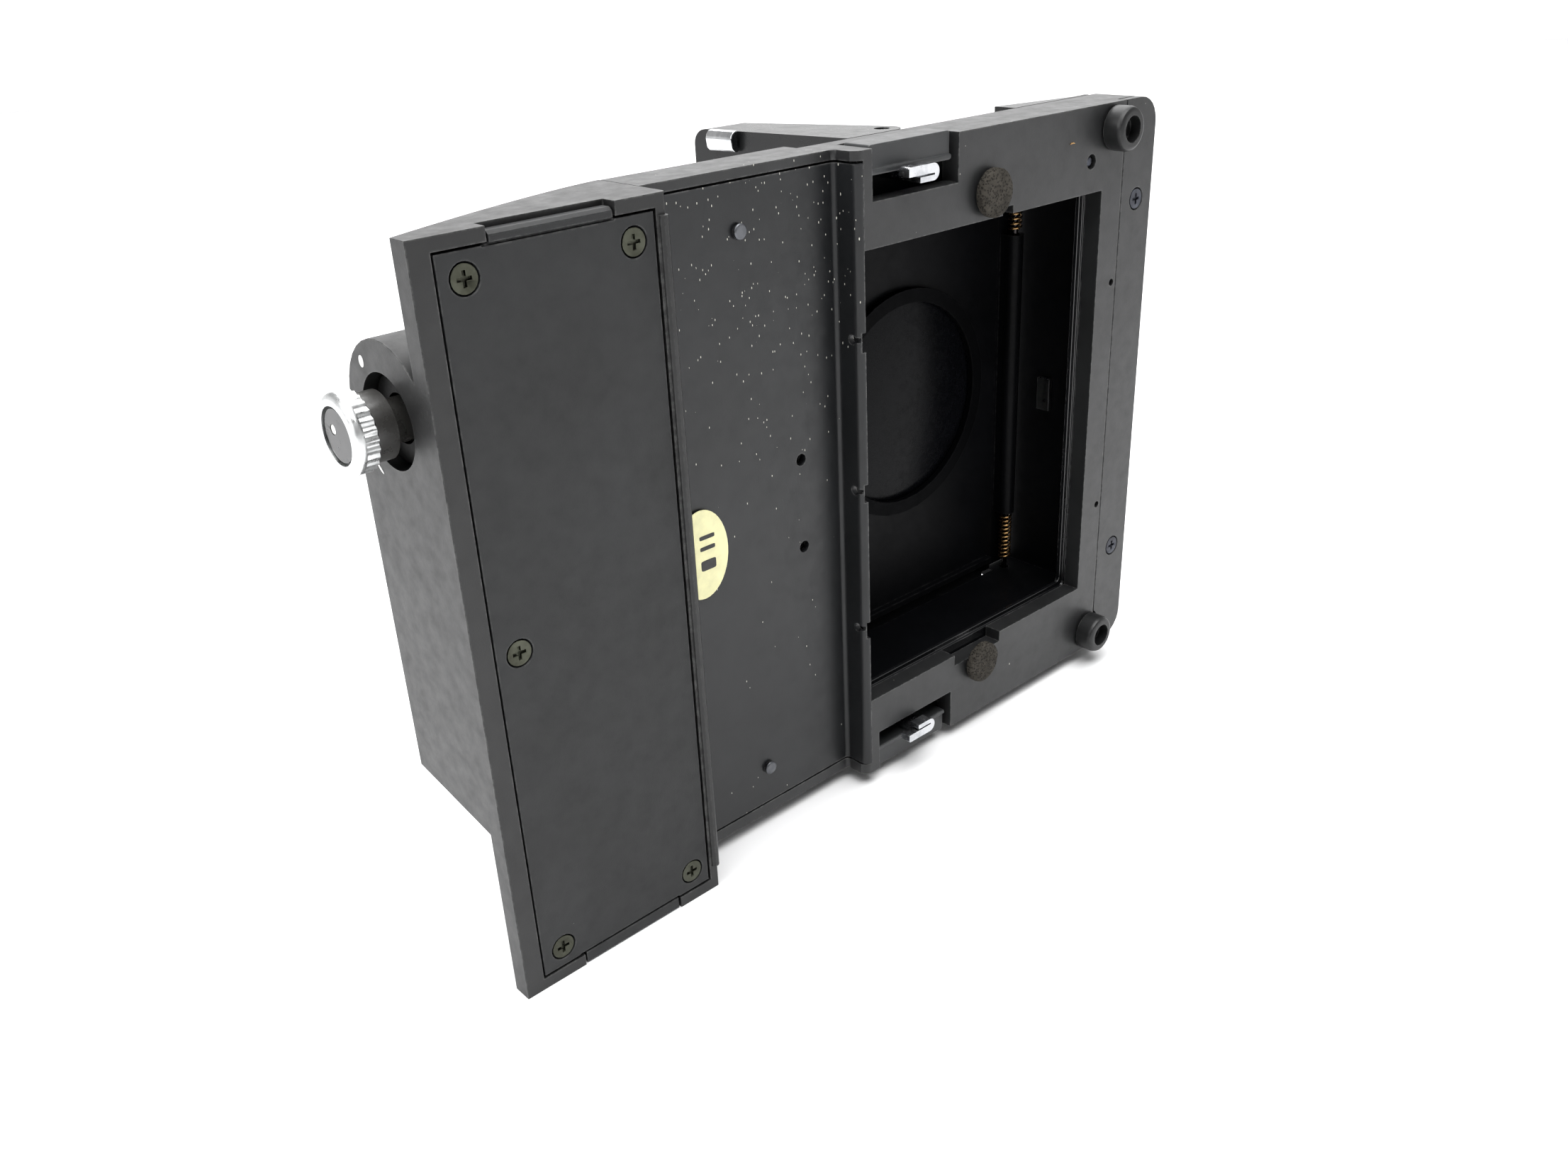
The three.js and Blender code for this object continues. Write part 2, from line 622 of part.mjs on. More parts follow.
// ---- back of the middle region ----
{
  let cover = box(-31.1, -5.7, 10, 11.3, -10.7, 80.7);
  for (const [x, z] of MID_SCREWS) cover = cover.subtract(bar('y', 9, 12, x, z, 1.2, 16));
  add('middle_back_cover', cover, 'sheet');
  MID_SCREWS.forEach(([x, z], i) => {
    add(`middle_screw_${i + 1}`, backScrew(x, z, 11.6), 'steel');
  });
}

// ---- screen frame inside the aperture ----
{
  const { x0, x1, z0, z1 } = APERTURE;
  const lip = 0.5;
  const y = FRAME.plate + GAP;
  const outer = roundRect(x0 + 0.1, x1 + 3, z0 - 3.6, z1 + 3.6, [1, 1, 1, 1], 3);
  let frame = prismY(outer, y, y + 1.2);
  const opening = roundRect(x0 + 0.9, x1 - lip, z0 + lip, z1 - lip, [0.8, 0.8, 0.8, 0.8], 4);
  frame = frame.subtract(prismY(opening, 0, 9));
  const step = roundRect(x0 + 0.5, x1 + 0.3, z0 - 0.3, z1 + 0.3, [0.8, 0.8, 0.8, 0.8], 4);
  frame = frame.subtract(prismY(step, 0, y + 0.45));
  add('screen_frame', frame, 'sheet');
}

// ---- hood seat: a plate closing the back of the frame, with the deep well ----
{
  const w = WELL;
  let seat = box(SEAT.x0, SEAT.x1, SEAT.y0, SEAT.y1, SEAT.z0, SEAT.z1);
  seat = seat.add(box(w.x0 - w.wall, w.x1 + w.wall, w.front, w.back, w.z0 - w.wall, w.z1 + w.wall));
  seat = seat.subtract(box(w.x0, w.x1, 0, 20, w.z0, w.z1));

  // taller walls round the rod end, which the rod passes into, and a ledge under the panel's free edge
  seat = seat.add(box(w.x1, w.x1 + w.wall, 17, w.stop, w.z0 - w.wall, w.z1 + w.wall));
  for (const z of [w.z0 - w.wall, w.z1]) {
    seat = seat.add(box(PANEL.x1 + GAP, w.x1 + w.wall, 17, w.stop, z, z + w.wall));
  }
  seat = seat.add(box(w.x0 - w.wall, PANEL.x0 + 0.4, 16.8, w.back, w.z0 - w.wall, w.z1 + w.wall));
  seat = seat.subtract(bar('z', ROD.z0 - 0.7, ROD.z1 + 0.7, ROD.x, ROD.y, ROD.r + GAP, 20));
  for (const [x, z] of SEAT_SCREWS) seat = seat.subtract(bar('y', 0, 12, x, z, 1.2, 16));
  for (const { z, up } of LATCHES) {
    const [a, b] = span(z, z - up * 4.7);
    seat = seat.subtract(box(12.4, 19.6, 5, 12, a, b));
  }
  add('hood_seat', seat, 'paint');
  SEAT_SCREWS.forEach(([x, z], i) => {
    add(`seat_screw_${i + 1}`, backScrew(x, z, 9), 'steel');
  });
}

// ---- light cell on the wall of the well ----
add('light_cell', box(57.3, 58.1, 11, 13.6, 30.2, 36), 'steel');

// ---- rod with its two torsion springs ----
add('panel_hinge_rod', bar('z', ROD.z0 - 0.4, ROD.z1 + 0.4, ROD.x, ROD.y, ROD.r, 20), 'steel');

class Helix extends THREE.Curve {
  constructor(radius, pitch, turns, start) {
    super();
    Object.assign(this, { radius, pitch, turns, start });
  }

  getPoint(t) {
    const angle = t * this.turns * 2 * Math.PI;
    const x = ROD.x + this.radius * Math.cos(angle);
    const y = ROD.y + this.radius * Math.sin(angle);
    return new THREE.Vector3(x, y, this.start + t * this.turns * this.pitch);
  }
}
function coil(start, turns) {
  const curve = new Helix(COIL.r, COIL.pitch, turns, start);
  const shape = shapeOf(circle(0, 0, COIL.wire, 5));
  const options = { extrudePath: curve, steps: turns * 10, bevelEnabled: false };
  return solid(new THREE.ExtrudeGeometry(shape, options));
}
add('panel_spring_lower', coil(0.8, 11), 'brass');
add('panel_spring_upper', coil(61.7, 9), 'brass');

// ---- magnifier panel ----
{
  const p = PANEL;
  let panel = prismY(roundRect(p.x0, p.narrow, p.z0, p.z1, [2, 0.5, 0.5, 2], 4), p.y0, p.y1);
  panel = panel.add(box(p.narrow - 1, p.x1, p.y0, p.y1, -0.9, 70.9));
  // the edge carried over the rod, and the knuckle round the rod between the springs
  panel = panel.add(box(p.x1 - 1, p.edge, p.y1 - 0.2, p.y1 + 0.6, -0.9, 70.9));
  const k = KNUCKLE;
  panel = panel.add(bar('z', k.z0, k.z1, ROD.x, ROD.y, k.r, 24));
  panel = panel.add(box(ROD.x - 1.3, ROD.x + 1, ROD.y, p.y1, k.z0, k.z1));
  panel = panel.subtract(bar('z', k.z0 - 1, k.z1 + 1, ROD.x, ROD.y, ROD.r + GAP, 20));
  panel = panel.subtract(bar('y', 10, 30, LENS.x, LENS.z, LENS.r + GAP, 48));
  // stiffening turned-down edges
  for (const z of [1.2, 67.8]) {
    panel = panel.add(box(WELL.x0 + 8, p.x1 - 1, p.y0 - 1.2, p.y0 + 0.2, z, z + 1));
  }
  add('magnifier_panel', panel, 'sheet');

  const ringOuter = LENS.r + LENS.ring;
  const ring = turnedY(
    [
      [LENS.r - 0.7, 17],
      [ringOuter, 17],
      [ringOuter, 18],
      [LENS.r - 0.7, 18],
      [LENS.r - 0.7, 17],
    ],
    LENS.x,
    LENS.z,
    48,
  );
  add('lens_ring', ring, 'plastic');

  const front = 17.4;
  const lens = [];
  for (let i = 0; i <= 6; i += 1) {
    const r = (i / 6) * LENS.r;
    lens.push([r, front + 0.95 * (r / LENS.r) ** 2]);
  }
  lens.push([LENS.r, 19.3], [0, 19.3]);
  add('magnifier_lens', turnedY(lens, LENS.x, LENS.z, 40), 'glass');

  // thin leaf folded over the back of the lens
  const leaf = roundRect(p.x0 + 1, p.x1 - 1.4, 2, 68, [2, 1, 1, 2], 4);
  add('magnifier_leaf', prismY(leaf, p.y1 + GAP, p.y1 + 1), 'sheet');
}

// ---- rear cheeks: a bent sheet round the end of the seat ----
{
  const cheek = [
    [43, 9.3],
    [43, 13.3],
    [58.5, 10],
    [62, 10],
    [62, 9.3],
  ];
  let shroud = box(61, 62, 9.3, 14, -13, 83);
  for (const z of [-13, 82]) shroud = shroud.add(prismZ(cheek, z, z + 1));
  shroud = shroud.subtract(box(60, 63, 10.2, 15, 81.2, 84));
  shroud = shroud.subtract(box(60, 63, 10.2, 15, -14, -11.2));
  shroud = shroud.subtract(box(60, 63, 9, 10.6, 74.9, 79.9)).subtract(box(60, 63, 9, 10.6, -9.9, -4.9));
  add('rear_shroud', shroud, 'sheet');
}

// ---- lid, standing open ----
{
  const { pivotX, pivotY, pivotR, z0, z1, sheet } = LID;
  const plate = [
    [6.6, 9.3],
    [7.6, 9.3],
    [3.3, 36.3],
    [3.3, 37.1],
    [2.2, 37.1],
  ];
  let lid = prismZ(plate, z0, z1);
  const flange = [[6.6, 9.3]];
  for (let i = 0; i <= 8; i += 1) {
    const angle = (-0.5 + (i / 8) * 0.5) * Math.PI;
    flange.push([pivotX + pivotR * Math.cos(angle), pivotY + pivotR * Math.sin(angle)]);
  }
  flange.push([10.2, 35.3], [9.2, 36.7], [7.6, 37.1], [2.2, 37.1]);
  for (const z of [z0, z1 - sheet]) lid = lid.add(prismZ(flange, z, z + sheet));
  // the plate is cut back between its arms so that it clears the well
  lid = lid.subtract(box(3, 9, 9, 19, z0 + 6, z1 - 6));
  lid = lid.subtract(bar('z', z0 - 1, z1 + 1, pivotX, pivotY, 1.15, 20));
  // rounded free corners
  const corner = prismX(roundRect(5, 37.1, z0, z1, [0, 2.2, 2.2, 0], 6), 0, 30);
  lid = lid.intersect(corner);
  add('hood_lid', lid, 'sheet');
}

for (const { side, z, up } of LATCHES) {
  const edge = up > 0 ? LID.z1 : LID.z0;
  const [a, b] = span(edge - up * 4, edge - up * 0.2);
  add(`lid_pivot_${side}`, bar('z', a, b, LID.pivotX, LID.pivotY, 0.85, 20), 'steel');
}

// chrome catch on the outer face of the lid, a half-round strip near the upper corner, leaning with the lid
{
  const [z0, z1] = [80.1, 83.2];
  const lean = 4.4 / 27.8;
  const face = 2.75;
  const outline = [
    [face, z0],
    [face, z1],
    [face - 0.7, z1 - 0.1],
    [face - 1.15, z1 - 0.6],
    [face - 1.3, (z0 + z1) / 2 + 0.3],
    [face - 1.1, z0 + 0.6],
    [face - 0.6, z0 + 0.1],
  ];
  const g = extrude(outline, 4.9);
  g.applyMatrix4(new THREE.Matrix4().set(1, 0, lean, -0.35, 0, 0, -1, 33.2, 0, 1, 0, 0, 0, 0, 0, 1));
  add('lid_catch', solid(g), 'chrome');
}

// ---- put the origin under the middle of the part ----
const bounds = new THREE.Box3().setFromObject(group);
const shift = new THREE.Vector3(
  -(bounds.min.x + bounds.max.x) / 2,
  -(bounds.min.y + bounds.max.y) / 2,
  -bounds.min.z,
);
for (const mesh of group.children) mesh.geometry.translate(shift.x, shift.y, shift.z);

export default group;
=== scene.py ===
import math
import random

import bmesh
import bpy
from mathutils import Matrix, Vector


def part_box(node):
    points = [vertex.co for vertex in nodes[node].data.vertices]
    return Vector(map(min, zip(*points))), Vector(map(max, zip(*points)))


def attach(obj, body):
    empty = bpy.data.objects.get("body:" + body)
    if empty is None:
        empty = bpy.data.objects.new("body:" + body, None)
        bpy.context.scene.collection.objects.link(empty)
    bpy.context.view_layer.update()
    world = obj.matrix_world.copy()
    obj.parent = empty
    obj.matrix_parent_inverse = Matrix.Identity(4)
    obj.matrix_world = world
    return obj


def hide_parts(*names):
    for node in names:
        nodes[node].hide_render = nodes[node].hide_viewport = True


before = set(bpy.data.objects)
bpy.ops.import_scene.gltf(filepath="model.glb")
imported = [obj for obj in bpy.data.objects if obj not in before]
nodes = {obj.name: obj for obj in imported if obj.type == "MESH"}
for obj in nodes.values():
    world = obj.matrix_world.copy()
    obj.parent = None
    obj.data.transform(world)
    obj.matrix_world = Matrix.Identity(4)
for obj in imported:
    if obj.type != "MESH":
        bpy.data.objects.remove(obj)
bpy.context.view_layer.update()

MM = 0.001
scene = bpy.context.scene


# ---------------------------------------------------------------- materials
RANGE = ("From Min", "From Max", "To Min", "To Max")


class Look:
    """A node material: one Principled shader and the procedural nodes that feed it."""

    def __init__(self, name, **sockets):
        self.mat = bpy.data.materials.new(name)
        self.mat.use_nodes = True
        self.tree = self.mat.node_tree
        self.tree.nodes.clear()
        out = self.node("OutputMaterial")
        self.shader = self.node("BsdfPrincipled")
        self.link(self.shader.outputs[0], out.inputs["Surface"])
        self.set(**sockets)
        self.place = self.node("TexCoord").outputs["Object"]

    def node(self, kind, **settings):
        made = self.tree.nodes.new("ShaderNode" + kind)
        for key, value in settings.items():
            setattr(made, key, value)
        return made

    def link(self, source, target):
        self.tree.links.new(source, target)

    def set(self, **sockets):
        for key, value in sockets.items():
            socket = self.shader.inputs[key.replace("_", " ")]
            if isinstance(value, bpy.types.NodeSocket):
                self.link(value, socket)
            else:
                socket.default_value = value

    def value(self, target, item):
        if isinstance(item, bpy.types.NodeSocket):
            self.link(item, target)
        else:
            target.default_value = item

    def stretched(self, scale):
        mapping = self.node("Mapping")
        self.link(self.place, mapping.inputs["Vector"])
        mapping.inputs["Scale"].default_value = scale
        return mapping.outputs[0]

    def noise(self, scale, detail=3.0, roughness=0.55, place=None):
        made = self.node("TexNoise")
        self.link(place or self.place, made.inputs["Vector"])
        made.inputs["Scale"].default_value = scale
        made.inputs["Detail"].default_value = detail
        made.inputs["Roughness"].default_value = roughness
        return made.outputs["Fac"]

    def span(self, source, low, high, out_low=0.0, out_high=1.0):
        made = self.node("MapRange", clamp=True)
        self.link(source, made.inputs["Value"])
        for key, value in zip(RANGE, (low, high, out_low, out_high)):
            made.inputs[key].default_value = value
        return made.outputs[0]

    def maths(self, operation, a, b):
        made = self.node("Math", operation=operation)
        self.value(made.inputs[0], a)
        self.value(made.inputs[1], b)
        return made.outputs[0]

    def mix(self, factor, a, b):
        made = self.node("Mix", data_type="RGBA")
        self.value(made.inputs[0], factor)
        self.value(made.inputs[6], a)
        self.value(made.inputs[7], b)
        return made.outputs[2]

    def bump(self, height, strength, distance, normal=None):
        made = self.node("Bump")
        made.inputs["Strength"].default_value = strength
        made.inputs["Distance"].default_value = distance
        self.link(height, made.inputs["Height"])
        if normal is not None:
            self.link(normal, made.inputs["Normal"])
        return made.outputs[0]

    def edges(self, radius, low, high):
        """1 along sharp edges, broken up by noise, and 0 on flats."""
        bevel = self.node("Bevel", samples=4)
        bevel.inputs["Radius"].default_value = radius
        geometry = self.node("NewGeometry")
        dot = self.node("VectorMath", operation="DOT_PRODUCT")
        self.link(bevel.outputs[0], dot.inputs[0])
        self.link(geometry.outputs["Normal"], dot.inputs[1])
        sharp = self.span(dot.outputs["Value"], 1.0 - low, 1.0 - high)
        broken = self.span(self.noise(900, 4, 0.7), 0.42, 0.62)
        return self.maths("MULTIPLY", sharp, broken)

    def specks(self, cell, size, share):
        """Small upright specks in a share of the cells of a grid of that many cells a metre."""
        made = self.node("TexVoronoi", feature="F1")
        self.link(self.stretched((1, 1, 0.4)), made.inputs["Vector"])
        made.inputs["Scale"].default_value = cell
        parts = self.node("SeparateColor")
        self.link(made.outputs["Color"], parts.inputs[0])
        chosen = self.maths("LESS_THAN", parts.outputs[0], share)
        reach = self.maths("MULTIPLY", parts.outputs[1], size)
        inside = self.maths("LESS_THAN", made.outputs["Distance"], reach)
        return self.maths("MULTIPLY", chosen, inside)

    def near(self, centre, inner, outer):
        """1 within inner of a point, falling to 0 at outer, in metres."""
        apart = self.node("VectorMath", operation="DISTANCE")
        self.link(self.place, apart.inputs[0])
        apart.inputs[1].default_value = centre
        return self.span(apart.outputs["Value"], inner, outer, 1.0, 0.0)


DUST = (0.55, 0.54, 0.48, 1)
BARE = (0.34, 0.34, 0.33, 1)
SHAVINGS = (0.4, 0.3, 0.09, 1)
plate_lo, plate_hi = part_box("transition_plate")
DUSTY = (plate_hi.x - 5 * MM, plate_lo.y + 2 * MM, plate_hi.z - 6 * MM)


def black_paint(
    name,
    colour,
    roughness,
    grain=0.25,
    wear=0.35,
    dust=0.0,
    dusty=0.0,
    coat=0.0,
    shine=0.5,
    powder_colour=DUST,
):
    """Satin black enamel on metal: fine orange peel, uneven sheen, rubbed edges and a little dust.
    dust is the share of cells holding a speck, and dusty adds to it near the corner of the plate."""
    look = Look(name, Metallic=0.0, IOR=1.5, Specular_IOR_Level=shine)
    broad = look.noise(70, 3)
    tint = tuple(c * 1.5 for c in colour[:3]) + (1,)
    base = look.mix(look.span(broad, 0.35, 0.7), colour, tint)
    if wear > 0:
        rub = look.maths("MULTIPLY", look.edges(0.00035, 0.015, 0.12), wear)
        base = look.mix(rub, base, BARE)
    sheen = look.span(look.noise(420, 4, 0.65), 0.3, 0.75, roughness - 0.07, roughness + 0.09)
    if dust > 0:
        patch = look.near(DUSTY, 0.004, 0.042)
        share = look.maths("ADD", look.maths("MULTIPLY", patch, dusty), dust)
        few = look.maths("MULTIPLY", share, 0.4)
        powder = look.maths("MAXIMUM", look.specks(1000, 0.1, few), look.specks(1900, 0.17, share))
        base = look.mix(powder, base, powder_colour)
        sheen = look.maths("MAXIMUM", sheen, powder)
    look.set(Base_Color=base, Roughness=sheen)
    if coat > 0:
        look.set(Coat_Weight=coat, Coat_Roughness=0.18)
    peel = look.noise(5200, 2, 0.5)
    scratch = look.noise(60, 5, 0.8, look.stretched((14, 1, 1)))
    height = look.maths("ADD", peel, look.maths("MULTIPLY", scratch, 0.3))
    look.set(Normal=look.bump(height, grain, 0.00004))
    return look.mat


def metal(name, colour, roughness, scratches=0.2, tarnish_and_painted_reflection=None):
    """Bare or plated metal with fine scratches, uneven polish and darker patches: tarnish, and on the
    latch hooks painted dark reflections as well.
    """
    look = Look(name, Metallic=1.0)
    cloud = look.noise(260, 4, 0.6)
    dark = tarnish_and_painted_reflection or tuple(c * 0.72 for c in colour[:3]) + (1,)
    look.set(Base_Color=look.mix(look.span(cloud, 0.45, 0.75), colour, dark))
    look.set(Roughness=look.span(look.noise(900, 3), 0.3, 0.7, roughness * 0.7, roughness * 1.5))
    lines = look.noise(900, 4, 0.7, look.stretched((1, 1, 9)))
    look.set(Normal=look.bump(lines, scratches, 0.00002))
    return look.mat


def foam_look():
    look = Look("foam_rubber", Roughness=0.95)
    pores = look.node("TexVoronoi", feature="F1")
    look.link(look.place, pores.inputs["Vector"])
    pores.inputs["Scale"].default_value = 2600
    pore_depth_and_shade = look.span(pores.outputs["Distance"], 0.1, 0.55)
    broad = look.span(look.noise(500, 4), 0.35, 0.7)
    pale = look.mix(broad, (0.03, 0.027, 0.022, 1), (0.056, 0.05, 0.042, 1))
    # painted shade: the pore centres are painted near-black for the shade inside the open cells, and
    # the same mask bumps the pores
    look.set(Base_Color=look.mix(pore_depth_and_shade, (0.012, 0.01, 0.008, 1), pale))
    look.set(Normal=look.bump(pore_depth_and_shade, 0.9, 0.0002), Specular_IOR_Level=0.2)
    return look.mat


def printed(name, colour, roughness=0.6):
    """Ink or paper with a faint grain."""
    look = Look(name)
    dark = tuple(c * 0.86 for c in colour[:3]) + (1,)
    look.set(Base_Color=look.mix(look.span(look.noise(700, 5), 0.35, 0.7), colour, dark))
    look.set(Roughness=look.span(look.noise(1500), 0.3, 0.7, roughness - 0.08, roughness + 0.08))
    look.set(Normal=look.bump(look.noise(4000, 3), 0.25, 0.00003))
    return look.mat


def lens_look():
    look = Look("dark_glass", Metallic=0.0, IOR=1.5, Specular_IOR_Level=0.06)
    haze = look.span(look.noise(120, 4, 0.6), 0.35, 0.75)
    look.set(Base_Color=look.mix(haze, (0.0016, 0.0018, 0.0024, 1), (0.003, 0.0032, 0.0042, 1)))
    look.set(Roughness=look.span(look.noise(800, 3), 0.3, 0.8, 0.2, 0.34))
    look.set(Normal=look.bump(look.noise(300, 2), 0.02, 0.00001))
    return look.mat


def board_look():
    look = Look("circuit_board_green", Roughness=0.35)
    tracks = look.noise(300, 2, 0.4, look.stretched((1, 1, 6)))
    track = look.span(tracks, 0.5, 0.55)
    look.set(Base_Color=look.mix(track, (0.02, 0.09, 0.04, 1), (0.05, 0.17, 0.08, 1)))
    look.set(Normal=look.bump(tracks, 0.4, 0.00005))
    return look.mat


LOOKS = {
    "casting": black_paint(
        "casting_paint",
        (0.0105, 0.0108, 0.0112, 1),
        0.42,
        grain=0.22,
        wear=0.3,
        dust=0.008,
        dusty=0.12,
        shine=0.46,
    ),
    "housing": black_paint(
        "housing_paint", (0.008, 0.0081, 0.0083, 1), 0.42, grain=0.25, wear=0.25, shine=0.42
    ),
    "cover": black_paint(
        "cover_paint", (0.0085, 0.009, 0.0095, 1), 0.5, grain=0.3, wear=0.2, dust=0.006, shine=0.36
    ),
    "plate": black_paint(
        "plate_paint",
        (0.0065, 0.007, 0.0078, 1),
        0.36,
        grain=0.16,
        wear=0.3,
        dust=0.05,
        dusty=0.75,
        shine=0.38,
    ),
    "button": black_paint(
        "button_paint", (0.02, 0.021, 0.022, 1), 0.38, grain=0.2, wear=0.3, shine=0.4
    ),
    # painted shade: matte black made darker than the outer paint, standing for the shade inside the
    # hood
    "inside": black_paint(
        "flat_black_and_painted_shade", (0.002, 0.0021, 0.0026, 1), 0.42, grain=0.3, wear=0.06, shine=0.07
    ),
    # painted shade: the lens ring's black is made darker still, for the shade deep inside the hood
    "ring": black_paint(
        "ring_black_and_painted_shade", (0.0012, 0.0013, 0.0016, 1), 0.5, grain=0.3, wear=0.02, shine=0.03
    ),
    "rim": black_paint("rim_black", (0.004, 0.0042, 0.0048, 1), 0.22, grain=0.02, wear=0.0, shine=0.8),
    "foot": black_paint(
        "foot_paint", (0.0075, 0.0077, 0.008, 1), 0.4, grain=0.2, wear=0.25, shine=0.36
    ),
    "lid": black_paint("lid_paint", (0.007, 0.0073, 0.0078, 1), 0.3, grain=0.12, wear=0.0, shine=0.4),
    "plastic": black_paint(
        "moulded_black", (0.006, 0.006, 0.007, 1), 0.24, grain=0.12, wear=0.2, coat=0.2, shine=0.4
    ),
    # painted shade: the well's near-black base is darker than the housing paint and stands for the
    # shade in the recess; the brass specks are real shavings
    "well": black_paint(
        "well_painted_shade_and_shavings",
        (0.0025, 0.0025, 0.0025, 1),
        0.4,
        grain=0.2,
        wear=0.0,
        dust=0.22,
        shine=0.06,
        powder_colour=SHAVINGS,
    ),
    "drum": black_paint("drum_paint", (0.03, 0.029, 0.027, 1), 0.3, grain=0.2, wear=0.1, shine=0.7),
    "chrome": metal("bright_chrome", (0.7, 0.71, 0.72, 1), 0.12, 0.12, (0.45, 0.46, 0.47, 1)),
    "knurled": metal("knurled_chrome", (0.7, 0.71, 0.71, 1), 0.3, 0.15, (0.5, 0.51, 0.5, 1)),
    "steel": metal("plain_steel", (0.42, 0.43, 0.44, 1), 0.3),
    "rivet": metal("dull_rivet", (0.07, 0.075, 0.09, 1), 0.42, 0.3, (0.03, 0.03, 0.035, 1)),
    "stud": metal("grey_rivet", (0.13, 0.135, 0.145, 1), 0.45, 0.3, (0.06, 0.06, 0.065, 1)),
    # painted reflection: the dark patches mixed into the latch chrome's colour stand for dark
    # reflections, as well as tarnish
    "hook": metal("latch_chrome_painted_reflections", (0.66, 0.67, 0.69, 1), 0.2, 0.6, (0.2, 0.21, 0.24, 1)),
    "rod": metal("blackened_rod", (0.05, 0.045, 0.045, 1), 0.22),
    "darkscrew": metal("dark_screw", (0.075, 0.078, 0.06, 1), 0.38, 0.3, (0.035, 0.035, 0.026, 1)),
    "brass": metal("spring_brass", (0.5, 0.31, 0.13, 1), 0.25, 0.2, (0.2, 0.11, 0.05, 1)),
    "cellgrey": metal("cell_grey", (0.12, 0.12, 0.12, 1), 0.35),
    "foam": foam_look(),
    "label": printed("label_paper", (0.83, 0.8, 0.46, 1), 0.55),
    "ink": printed("black_ink", (0.012, 0.012, 0.012, 1), 0.5),
    "white": printed("white_ink", (0.82, 0.82, 0.8, 1), 0.5),
    "glass": lens_look(),
    "board": board_look(),
}

NODE_LOOKS = {
    "casting": ["base_casting", "end_strip"],
    "housing": ["end_housing"],
    "cover": ["end_cover", "middle_back_cover"],
    "plate": ["transition_plate"],
    "button": ["release_button_upper", "release_button_lower"],
    # the hood's inner parts take the flat black with painted shade
    "inside": ["hood_seat", "magnifier_panel", "magnifier_leaf"],
    # the lens ring takes the darkest black, painted shade of the hood's inside
    "ring": ["lens_ring"],
    "foot": ["locating_foot_upper", "locating_foot_lower"],
    "rim": ["screen_frame"],
    "lid": ["hood_lid", "rear_shroud"],
    # the selector bushing sits in the well and takes its painted shade
    "well": ["selector_bushing"],
    "stud": ["transition_rivet_upper", "transition_rivet_lower"],
    "rivet": ["end_strip_screw_upper", "end_strip_screw_lower", "locating_pin"],
    "drum": ["selector_shaft"],
    "plastic": ["selector_inlay", "selector_switch"],
    "hook": ["latch_hook_upper", "latch_hook_lower"],
    "knurled": ["selector_ring"],
    "chrome": ["lid_catch"],
    "rod": ["panel_hinge_rod", "lid_pivot_upper", "lid_pivot_lower"],
    "brass": ["battery_clip"],
    "cellgrey": ["meter_movement", "battery_cell", "light_cell"],
    "label": ["check_label"],
    "glass": ["magnifier_lens"],
    "board": ["circuit_board"],
}
look_of = {node: look for look, members in NODE_LOOKS.items() for node in members}
for name in nodes:
    if name.startswith("end_cover_screw"):
        look_of[name] = "darkscrew"
    look_of.setdefault(name, "steel")

# ---------------------------------------------------------------- the CAD nodes that stay
# bevel widths in millimetres
ROUNDED_ELSEWHERE = 0.06
ROUNDED = {
    "base_casting": 0.25,
    "end_housing": 0.4,
    "end_cover": 0.12,
    "end_strip": 0.18,
    "transition_plate": 0.18,
    "release_button_upper": 0.25,
    "release_button_lower": 0.25,
    "latch_hook_upper": 0.3,
    "latch_hook_lower": 0.3,
    "hood_lid": 0.22,
    "lid_catch": 0.15,
    "hood_seat": 0.2,
    "screen_frame": 0.15,
    "selector_ring": 0,
    "magnifier_panel": 0.2,
    "rear_shroud": 0.15,
}
WELD = 0.004 * MM
FLAT_WITHIN = math.radians(0.4)
ROUND_FROM = math.radians(32)
SPLIT_FROM = math.radians(40)


def soften(obj, width):
    """Merges the CAD facets, then rounds the sharp edges, or parts them where width is 0."""
    for polygon in obj.data.polygons:
        polygon.use_smooth = True
    weld = obj.modifiers.new("weld", "WELD")
    weld.merge_threshold = WELD
    flat = obj.modifiers.new("flat", "DECIMATE")
    flat.decimate_type = "DISSOLVE"
    flat.angle_limit = FLAT_WITHIN
    if width:
        bevel = obj.modifiers.new("bevel", "BEVEL")
        bevel.width = width * MM
        bevel.segments = 2
        bevel.limit_method = "ANGLE"
        bevel.angle_limit = ROUND_FROM
        bevel.use_clamp_overlap = True
    else:
        split = obj.modifiers.new("split", "EDGE_SPLIT")
        split.split_angle = SPLIT_FROM
    normals = obj.modifiers.new("normals", "WEIGHTED_NORMAL")
    normals.weight = 90
    normals.keep_sharp = False


for name, obj in nodes.items():
    obj.data.materials.clear()
    obj.data.materials.append(LOOKS[look_of[name]])
    soften(obj, ROUNDED.get(name, ROUNDED_ELSEWHERE))


# ---------------------------------------------------------------- pieces made here
def piece(name, bm, look, body):
    mesh = bpy.data.meshes.new(name)
    bm.normal_update()
    bm.to_mesh(mesh)
    bm.free()
    obj = bpy.data.objects.new(name, mesh)
    scene.collection.objects.link(obj)
    mesh.materials.append(LOOKS[look])
    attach(obj, body)
    return obj


def closed_strip(bm, rings):
    """Skins rings of points, each a list of the same length, and caps both ends."""
    made = [[bm.verts.new(p) for p in ring] for ring in rings]
    count = len(made[0])
    for a, b in zip(made, made[1:]):
        for i in range(count):
            j = (i + 1) % count
            bm.faces.new((a[i], a[j], b[j], b[i]))
    bm.faces.new(list(reversed(made[0])))
    bm.faces.new(made[-1])
    bmesh.ops.recalc_face_normals(bm, faces=bm.faces)


